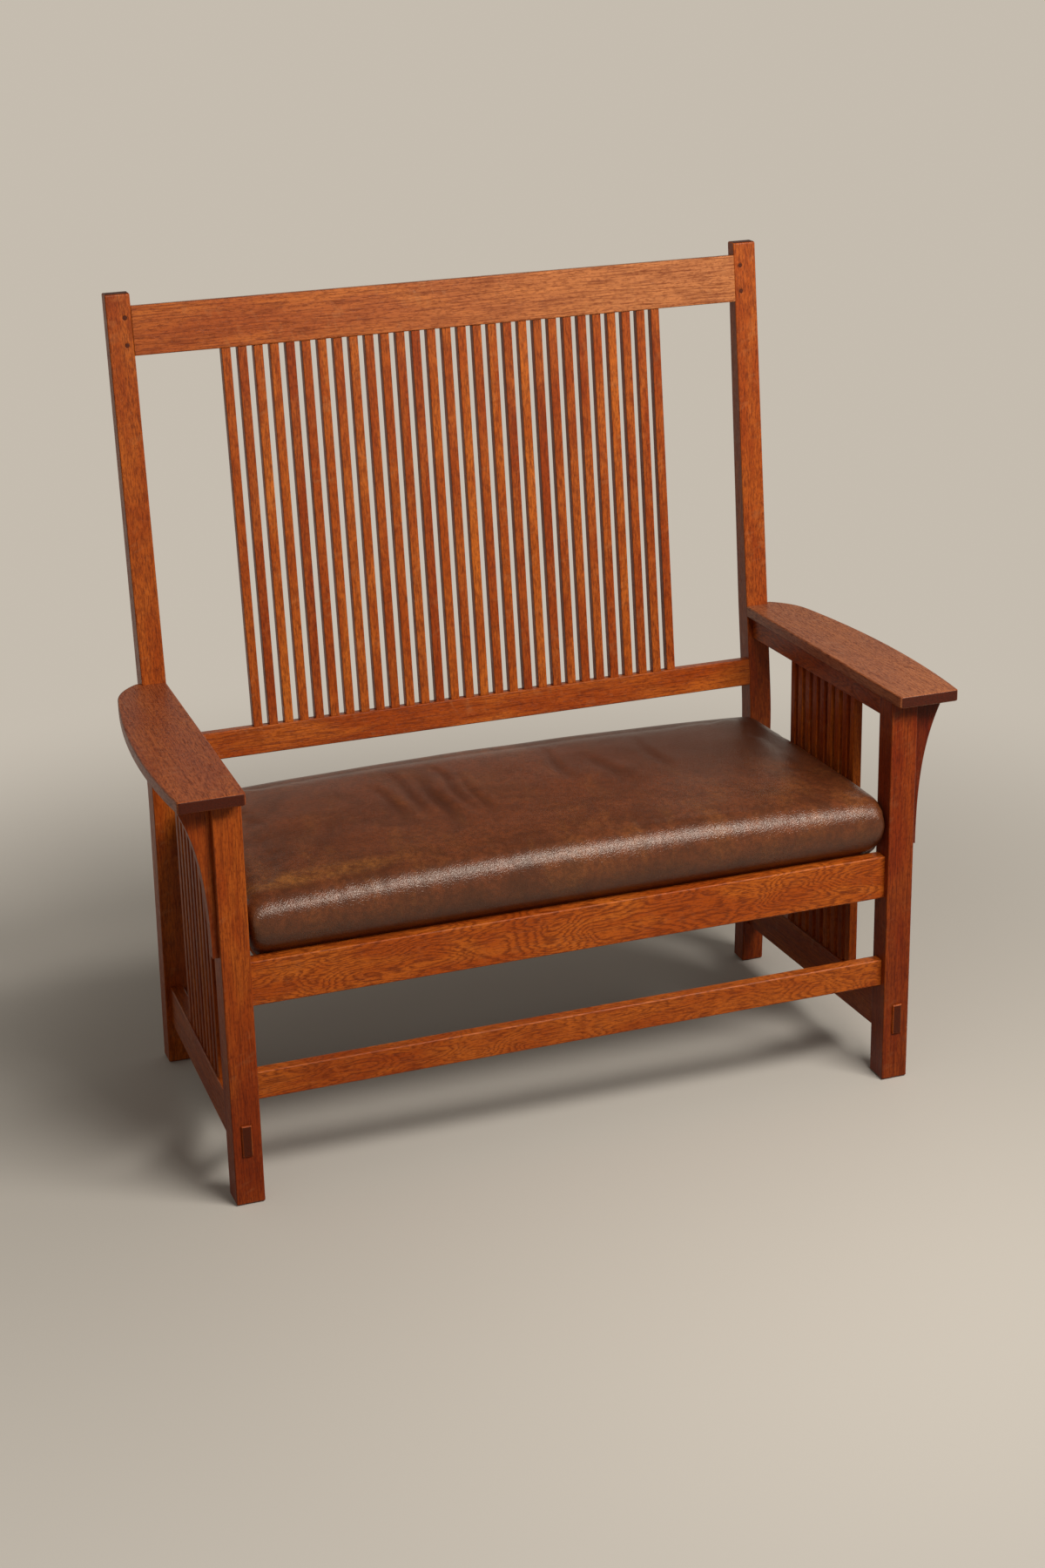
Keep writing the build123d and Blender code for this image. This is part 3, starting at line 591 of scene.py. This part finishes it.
def stuff(piece, shape):
    """Swells the cover with the cloth simulation and keeps each point near where it began."""
    start = [v.co.copy() for v in piece.data.vertices]
    low = min(co.z for co in start)
    held = piece.vertex_groups.new(name="underside")
    held.add([i for i, co in enumerate(start) if co.z < low + 1.5 * shape.voxel], 1.0, "REPLACE")
    cloth = piece.modifiers.new("Stuffing", "CLOTH")
    cloth.settings.use_pressure = True
    cloth.settings.uniform_pressure_force = shape.pressure
    cloth.settings.effector_weights.gravity = 0
    cloth.settings.vertex_group_mass = held.name
    cloth.settings.quality = 5
    cloth.settings.mass = 0.3
    cloth.settings.tension_stiffness = 12
    cloth.settings.compression_stiffness = 12
    cloth.settings.bending_stiffness = 0.8
    cloth.collision_settings.use_collision = False
    scene = bpy.context.scene
    cloth.point_cache.frame_start = 1
    cloth.point_cache.frame_end = shape.steps
    for step in range(1, shape.steps + 1):
        scene.frame_set(step)
    apply_modifiers(piece)
    ends = [v.co.copy() for v in piece.data.vertices]
    kept = []
    for co, began in zip(ends, start):
        moved = co - began
        kept.extend(began + moved.normalized() * min(moved.length, shape.swell))
    piece.data.vertices.foreach_set("co", kept)
    piece.data.update()
    scene.frame_set(1)
    piece.vertex_groups.clear()


def keep_near(piece, skin, shape):
    """Brings back each point that stands too far outside the cushion's solid or lies inside it."""
    def rule(co, up):
        near, normal, _, _ = skin.find_nearest(co)
        out = (co - near).dot(normal)
        if out > shape.proud:
            return near + (co - near).normalized() * shape.proud
        return near.copy() if out < 0 else co
    move_points(piece, rule)


def square_ends(piece, skin, box, shape):
    """Swells the cushion's ends at half height and tightens the upright corners at its front."""
    low, high = box
    taper = math.tan(plan_slant)
    # what moves: the points further out than ends_from, but not the skin at the very top and bottom
    ends_from, skin_margin = 0.40, 0.004
    # the swelling begins this far in from the end's rounding, and grows over this length
    fade_from, fade_over = 0.04, 0.05
    # where along Y each end is measured, and how square the corners get
    probe, power = -0.10, 7.0
    # how far out the end may reach beside the probe, to stay clear of the leg at the front
    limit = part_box("front_leg_right")[0].x - shape.leg_gap - taper * (probe - low.y)

    def rule(co, up):
        side = 1.0 if co.x > 0 else -1.0
        if abs(co.x) < ends_from or not low.z + skin_margin < co.z < high.z - skin_margin:
            return co
        end_hit = skin.ray_cast(Vector((side, probe, co.z)), Vector((-side, 0.0, 0.0)))[0]
        front_hit = skin.ray_cast(Vector((0.0, -1.0, co.z)), Vector((0.0, 1.0, 0.0)))[0]
        if end_hit is None or front_hit is None:
            return co
        inner = shape.corner - abs(end_hit.x + side * taper * (probe - co.y) - co.x)
        behind = shape.corner - (co.y - front_hit.y)
        reach = math.hypot(inner, behind)
        if inner > 0 and behind > 0 and reach > 0.5 * shape.corner:
            square = ((inner / reach) ** power + (behind / reach) ** power) ** (1 / power)
            push = (shape.corner / (square * reach) - 1) * min(1.0, max(0.0, 1.5 - 1.8 * abs(up.z)))
            co = co + Vector((side * inner * push, -behind * push, 0.0))
        share = (co.z - low.z) / (high.z - low.z)
        near_end = min(1.0, max(0.0, (inner + fade_from) / fade_over))
        bulge = min(limit - abs(end_hit.x), shape.bulge * (1 - (2 * share - 1) ** 4))
        wide = abs(co.x) + max(0.0, bulge) * near_end
        return Vector((side * min(wide, limit + taper * (probe - co.y)), co.y, co.z))

    move_points(piece, rule)


def raise_crown(piece, box, shape):
    """Lifts the top's middle above its ends, as a full cushion lies."""
    low, high = box
    middle, half = (low.x + high.x) / 2, (high.x - low.x) / 2
    # shares of the height: where the lift begins, and how far up it takes to be whole
    lift_from, lift_over = 0.3, 0.6

    def rule(co, up):
        across = (co.x - middle) / half
        upper = min(1.0, max(0.0, (co.z - low.z) / (high.z - low.z) - lift_from) / lift_over)
        return co + Vector((0.0, 0.0, upper * (shape.crown * (1 - across ** 2) - shape.droop)))

    move_points(piece, rule)


# Folds across the top: where along X, from where to where along Y, how much it leans, how wide and how deep.
folds = (
    (-0.215, -0.135, 0.075, 0.04, 0.011, 0.8),
    (-0.176, -0.105, 0.110, 0.06, 0.009, 0.9),
    (-0.148, -0.170, 0.090, -0.03, 0.012, 1.2),
    (-0.112, -0.120, 0.125, 0.05, 0.009, 0.8),
    (-0.086, -0.140, 0.060, 0.02, 0.010, 0.7),
    (0.085, -0.040, 0.130, 0.08, 0.011, 0.7),
    (0.150, -0.100, 0.080, -0.05, 0.012, 0.6),
    (0.235, -0.060, 0.120, 0.04, 0.010, 0.5),
)


def fold_dent(co):
    """How deep the folds press at a point, as a share of the crease depth."""
    dent = 0.0
    wander = 0.016 * noise.noise(Vector((co.x * 9, co.y * 9, 1.7)))
    for across, front, back, lean, width, deep in folds:
        share = (co.y - front) / (back - front)
        if 0.0 < share < 1.0:
            # each fold is a hollow with a low ridge pushed up beside it
            off = (co.x - across - lean * (share - 0.5) * 0.2 + wander) / width
            hollow, ridge = math.exp(-off * off), 0.35 * math.exp(-(off - 1.8) ** 2)
            dent += deep * math.sin(math.pi * share) * (hollow - ridge)
    return dent


def crease(piece, box, depth):
    """Presses soft folds into the top and small puckers over the front roll, and marks the folds for the
    painted shade in their hollows.
    """
    low, high = box
    marks = []
    # only skin that faces up by more than this is pressed
    level = 0.05
    # shares of the depth from front to back: the middle of the front roll, and how wide it is
    roll_at, roll_width = 0.07, 0.06

    def rule(co, up):
        dent = fold_dent(co) if up.z > level else 0.0
        marks.append(min(1.0, max(0.0, dent)))
        # a slow wave all over, and fine puckers on the roll
        wave = noise.noise(Vector((co.x * 7, co.y * 11, 8.1)))
        pucker = noise.noise(Vector((co.x * 58, co.y * 8, 2.9)))
        pucker += 0.6 * noise.noise(Vector((co.x * 95, co.y * 14, 5.3)))
        on_roll = math.exp(-(((co.y - low.y) / (high.y - low.y) - roll_at) / roll_width) ** 2)
        rise = depth * (0.5 * wave + 0.42 * pucker * on_roll - dent)
        return co + up * rise * min(1.0, max(0.0, up.z - level) * 3)

    move_points(piece, rule)
    # the fold attribute keeps how deep each point lies in a fold, which the leather paints as shade
    piece.data.attributes.new("fold", "FLOAT", "POINT").data.foreach_set("value", marks)


def make_cushion():
    """The leather cushion, stuffed by simulation from a slightly smaller copy of its solid."""
    shape = bpy.context.scene.settle_cushion
    solid = nodes["seat_cushion"]
    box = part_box("seat_cushion")
    same_place = 0.00002
    mesh = bmesh.new()
    mesh.from_mesh(solid.data)
    bmesh.ops.remove_doubles(mesh, verts=mesh.verts, dist=same_place)
    bmesh.ops.recalc_face_normals(mesh, faces=mesh.faces)
    skin = BVHTree.FromBMesh(mesh)
    mesh.normal_update()
    cushion = new_object("leather_cushion", mesh)
    remesh = cushion.modifiers.new("Even mesh", "REMESH")
    remesh.mode = "VOXEL"
    remesh.voxel_size = shape.voxel
    smooth = cushion.modifiers.new("Soften", "SMOOTH")
    smooth.factor = 0.5
    smooth.iterations = 3
    apply_modifiers(cushion)
    # the underside stays in place, and the inset grows to its full size over the first stretch above it
    toe, ease = box[0].z + 0.004, 0.03
    move_points(cushion, lambda co, up: co - up * shape.inset * min(1.0, max(0.0, (co.z - toe) / ease)))
    stuff(cushion, shape)
    keep_near(cushion, skin, shape)
    square_ends(cushion, skin, box, shape)
    raise_crown(cushion, box, shape)
    finer = cushion.modifiers.new("Finer", "SUBSURF")
    finer.levels = 1
    finer.render_levels = 1
    apply_modifiers(cushion)
    crease(cushion, box, shape.crease_depth)
    for polygon in cushion.data.polygons:
        polygon.use_smooth = True
    cushion.data.materials.clear()
    cushion.data.materials.append(leather())
    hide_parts("seat_cushion")
    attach(cushion, "cushion")


# Studio

# The lamps: where each one hangs, what it is aimed at, its width and its height.
lamps = {
    "key": ((1.0, -2.1, 2.45), (0.0, 0.1, 0.75), 1.6, 1.0),
    "top": ((0.8, -1.85, 2.35), (0.0, -0.1, 0.4), 2.0, 0.35),
    "fill": ((-2.6, -2.6, 1.6), (0.0, 0.0, 0.6), 2.0, 2.0),
}


def lamp(name, place_at, aim, width, height, power):
    """One soft area lamp."""
    data = bpy.data.lights.new(name, "AREA")
    data.shape = "RECTANGLE"
    data.size = width
    data.size_y = height
    data.energy = power
    made = bpy.data.objects.new(name, data)
    made.location = place_at
    made.rotation_euler = (Vector(aim) - Vector(place_at)).to_track_quat("-Z", "Y").to_euler()
    bpy.context.scene.collection.objects.link(made)


def floor_material(setting):
    """Plain pale floor that keeps the shadow and runs out into the backdrop's colour."""
    material, tree, shader, output = new_material("plain_floor")
    shader.inputs["Roughness"].default_value = 0.7
    shader.inputs["Specular IOR Level"].default_value = 0.2
    here = tree.nodes.new("ShaderNodeTexCoord").outputs["Object"]
    # how far out the floor is plain, and where it has become the backdrop
    plain_to, backdrop_from = 0.6, 2.1
    far = ramp(tree, shift(tree, "LENGTH", here), plain_to, backdrop_from)
    _, seen = looked_at(tree)
    tree.links.new(blend_colour(tree, seen, setting.bounce, setting.floor), shader.inputs["Base Color"])
    glow = place(tree, "ShaderNodeEmission", {"Color": setting.backdrop, "Strength": 1.0})
    mixed = place(tree, "ShaderNodeMixShader",
                  {0: reckon(tree, "MULTIPLY", far, seen), 1: shader.outputs[0], 2: glow.outputs[0]})
    tree.links.new(mixed.outputs[0], output.inputs["Surface"])
    return material


def make_floor(setting):
    """A wide round floor."""
    mesh = bmesh.new()
    bmesh.ops.create_circle(mesh, cap_ends=True, segments=96, radius=40.0)
    floor = new_object("floor", mesh)
    floor.data.materials.append(floor_material(setting))


def make_world(setting):
    """Even room light, and the backdrop's colour for what the camera and the gloss see."""
    world = bpy.data.worlds.new("studio")
    bpy.context.scene.world = world
    world.use_nodes = True
    tree = world.node_tree
    tree.nodes.clear()
    rays, seen = looked_at(tree)
    light = place(tree, "ShaderNodeBackground", {"Color": (1.0, 0.97, 0.93, 1), "Strength": setting.daylight})
    # what the gloss sees is as bright as the backdrop low behind the settle, and dimmer above and in front
    towards = tree.nodes.new("ShaderNodeTexCoord").outputs["Generated"]
    _, back, up = place(tree, "ShaderNodeSeparateXYZ", {0: towards}).outputs
    behind = reckon(tree, "MULTIPLY", ramp(tree, back, -0.35, 0.35), ramp(tree, up, 0.12, 0.55, 1.0, 0.0))
    behind = reckon(tree, "MULTIPLY_ADD", behind, 1 - setting.room, setting.room)
    strength = reckon(tree, "MAXIMUM", behind, rays["Is Camera Ray"])
    view = place(tree, "ShaderNodeBackground", {"Color": setting.backdrop, "Strength": strength})
    mixed = place(tree, "ShaderNodeMixShader", {0: seen, 1: light.outputs[0], 2: view.outputs[0]})
    output = tree.nodes.new("ShaderNodeOutputWorld")
    tree.links.new(mixed.outputs[0], output.inputs["Surface"])


def make_camera(setting):
    """The camera where the picture was taken from, above and to the left of the front."""
    data = bpy.data.cameras.new("camera")
    data.sensor_fit = "VERTICAL"
    data.sensor_height = 36
    data.lens = setting.lens
    data.clip_end = 200
    camera = bpy.data.objects.new("camera", data)
    right = Vector((0.937487, -0.347396, -0.020838))
    up = Vector((0.140237, 0.322287, 0.936197))
    back = Vector((-0.318515, -0.880594, 0.350858))
    spot = (-1.31543, -3.66486, 1.94324)
    camera.matrix_world = Matrix.Translation(spot) @ Matrix((right, up, back)).transposed().to_4x4()
    bpy.context.scene.collection.objects.link(camera)
    bpy.context.scene.camera = camera


# Operators

class SETTLE_OT_groups(bpy.types.Operator):
    """Build the node groups that the finishes share"""
    bl_idname = "settle.groups"
    bl_label = "Finish Groups"

    def execute(self, context):
        grain_group()
        edge_group()
        board_group()
        leather_group()
        return {"FINISHED"}


class SETTLE_OT_legs(bpy.types.Operator):
    """Finish the front legs and the rear posts"""
    bl_idname = "settle.legs"
    bl_label = "Legs and Posts"

    def execute(self, context):
        # the left leg and the right post carry painted shade, darker low down; the right leg's dark tone is
        # partly painted shade too
        dress(["front_leg_left"], oak("oak_leg_left", upright, 1, tone=0.48, painted_shade=(0.05, 0.42, -0.5, 0.0)))
        dress(["front_leg_right"], oak("oak_leg_right", upright, 2, tone=-0.18))
        dress(["rear_post_left"], oak("oak_post_left", upright, 3, tone=0.54))
        dress(["rear_post_right"],
              oak("oak_post_right", upright, 4, tone=0.46, painted_shade=(0.5, 0.95, -0.42, 0.0)))
        return {"FINISHED"}


class SETTLE_OT_back(bpy.types.Operator):
    """Finish the back's rails, pegs and spindles"""
    bl_idname = "settle.back"
    bl_label = "Back"

    def execute(self, context):
        # the top rail is painted paler toward its right end, a painted reflection in the varnish there
        dress(["top_back_rail"], oak("oak_top_rail", lengthwise, 5, tone=0.62, pale=(-0.4, 0.45, 0.1, 0.6)))
        dress(["lower_back_rail"], oak("oak_lower_rail", lengthwise, 6, tone=0.52))
        dress(["rail_pegs"], oak("oak_pegs", fore_and_aft, 7, tone=0.35))
        spindles = sorted(name for name in nodes if name.startswith("back_spindle"))
        first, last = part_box(spindles[0]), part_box(spindles[-1])
        middle = (first[0].x + first[1].x) / 2
        pitch = ((last[0].x + last[1].x) / 2 - middle) / (len(spindles) - 1)
        row = (0, middle - pitch / 2, pitch)
        dress(spindles, oak("oak_spindles", upright, 8, tone=0.56, row=row, spread=0.55))
        return {"FINISHED"}


class SETTLE_OT_seat_frame(bpy.types.Operator):
    """Finish the seat rails and the front stretcher"""
    bl_idname = "settle.seat_frame"
    bl_label = "Seat Frame"

    def execute(self, context):
        dress(["front_seat_rail"], oak("oak_seat_rail", lengthwise, 9, tone=0.68, figure=1.0, fleck=0.05))
        dress(["rear_seat_rail"], oak("oak_rear_rail", lengthwise, 10))
        dress(["front_stretcher"], oak("oak_stretcher", lengthwise, 11, tone=0.52, figure=0.6, fleck=0.05))
        return {"FINISHED"}


class SETTLE_OT_sides(bpy.types.Operator):
    """Finish the side stretchers, the arm rails and the side spindles"""
    bl_idname = "settle.sides"
    bl_label = "Sides"

    def execute(self, context):
        for side, turn, number in (("left", left_side, 12), ("right", right_side, 15)):
            low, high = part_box("side_spindles_" + side)
            pitch = side_spindle_pitch * math.cos(plan_slant)
            start = (low.y + high.y) / 2 - side_spindle_count / 2 * pitch
            dress(["side_stretcher_" + side], oak("oak_side_stretcher_" + side, turn, number, tone=0.4))
            dress(["arm_rail_" + side],
                  oak("oak_arm_rail_" + side, turn, number + 1, tone=0.4, figure=0.8, fleck=0.05))
            dress(["side_spindles_" + side],
                  oak("oak_side_spindles_" + side, upright, number + 2, tone=0.42,
                      row=(1, start, pitch), gloss=0.08))
        return {"FINISHED"}


class SETTLE_OT_arms(bpy.types.Operator):
    """Finish the arms and their corbels"""
    bl_idname = "settle.arms"
    bl_label = "Arms"

    def execute(self, context):
        # the arms are painted paler all over, a painted sheen for the hazy reflection on their tops, the
        # right arm more than the left
        dress(["arm_left"],
              oak("oak_arm_left", left_side, 18, tone=0.12, figure=0.3, pale=(-1, 1, 0.25, 0.25), gloss=0.24))
        dress(["arm_right"],
              oak("oak_arm_right", right_side, 19, tone=0.08, figure=0.3, pale=(-1, 1, 0.6, 0.6), gloss=0.3))
        dress(["corbel_left"], oak("oak_corbel_left", upright, 20, tone=0.4))
        # the right corbel's dark tone is partly the stain's own colour and partly painted shade, the shadow
        # of the right arm over it
        dress(["corbel_right"], oak("oak_corbel_right", upright, 21, tone=-0.62))
        return {"FINISHED"}


class SETTLE_OT_deck(bpy.types.Operator):
    """Finish the cleats and the slats under the cushion"""
    bl_idname = "settle.deck"
    bl_label = "Seat Deck"

    def execute(self, context):
        dress(["front_cleat", "rear_cleat"], oak("plain_oak_cleats", lengthwise, 22, tone=0.6))
        slats = sorted(name for name in nodes if name.startswith("seat_slat"))
        first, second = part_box(slats[0]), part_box(slats[1])
        pitch = second[0].x - first[0].x
        start = (first[0].x + first[1].x - pitch) / 2
        dress(slats, oak("plain_oak_slats", fore_and_aft, 23, tone=0.6, row=(0, start, pitch)))
        return {"FINISHED"}


class SETTLE_OT_cushion(bpy.types.Operator):
    """Stuff the leather cushion"""
    bl_idname = "settle.cushion"
    bl_label = "Leather Cushion"

    def execute(self, context):
        make_cushion()
        return {"FINISHED"}


class SETTLE_OT_studio(bpy.types.Operator):
    """Set up the floor, the lamps and the camera"""
    bl_idname = "settle.studio"
    bl_label = "Studio"

    def execute(self, context):
        setting = context.scene.settle_studio
        make_floor(setting)
        make_world(setting)
        for name, laid_out in lamps.items():
            lamp(name, *laid_out, getattr(setting, name + "_power"))
        make_camera(setting)
        context.scene.view_settings.view_transform = "Standard"
        return {"FINISHED"}


class SETTLE_PT_panel(bpy.types.Panel):
    """The settle's steps and sizes"""
    bl_label = "Mission Settle"
    bl_idname = "SETTLE_PT_panel"
    bl_space_type = "VIEW_3D"
    bl_region_type = "UI"
    bl_category = "Settle"

    def draw(self, context):
        for step in steps:
            self.layout.operator(step.bl_idname)
        for name in settings:
            group = getattr(context.scene, name)
            box = self.layout.box()
            for key in group.bl_rna.properties.keys():
                if key not in ("rna_type", "name"):
                    box.prop(group, key)


settings = {
    "settle_oak": OakFinish,
    "settle_leather": LeatherFinish,
    "settle_cushion": CushionShape,
    "settle_studio": StudioSetting,
}
steps = (
    SETTLE_OT_groups, SETTLE_OT_legs, SETTLE_OT_back, SETTLE_OT_seat_frame, SETTLE_OT_sides,
    SETTLE_OT_arms, SETTLE_OT_deck, SETTLE_OT_cushion, SETTLE_OT_studio,
)


def register():
    """Registers the classes and gives the scene its settings."""
    for kind in (*settings.values(), *steps, SETTLE_PT_panel):
        bpy.utils.register_class(kind)
    for name, kind in settings.items():
        setattr(bpy.types.Scene, name, PointerProperty(type=kind))


def unregister():
    """Takes the settings and the classes away again."""
    for name in settings:
        delattr(bpy.types.Scene, name)
    for kind in reversed((*settings.values(), *steps, SETTLE_PT_panel)):
        bpy.utils.unregister_class(kind)


def main():
    """Runs every step in order."""
    register()
    for step in steps:
        name = step.bl_idname.split(".")[1]
        if getattr(bpy.ops.settle, name)() != {"FINISHED"}:
            raise RuntimeError(f"the step {name} didn't finish")


if __name__ == "__main__":
    main()
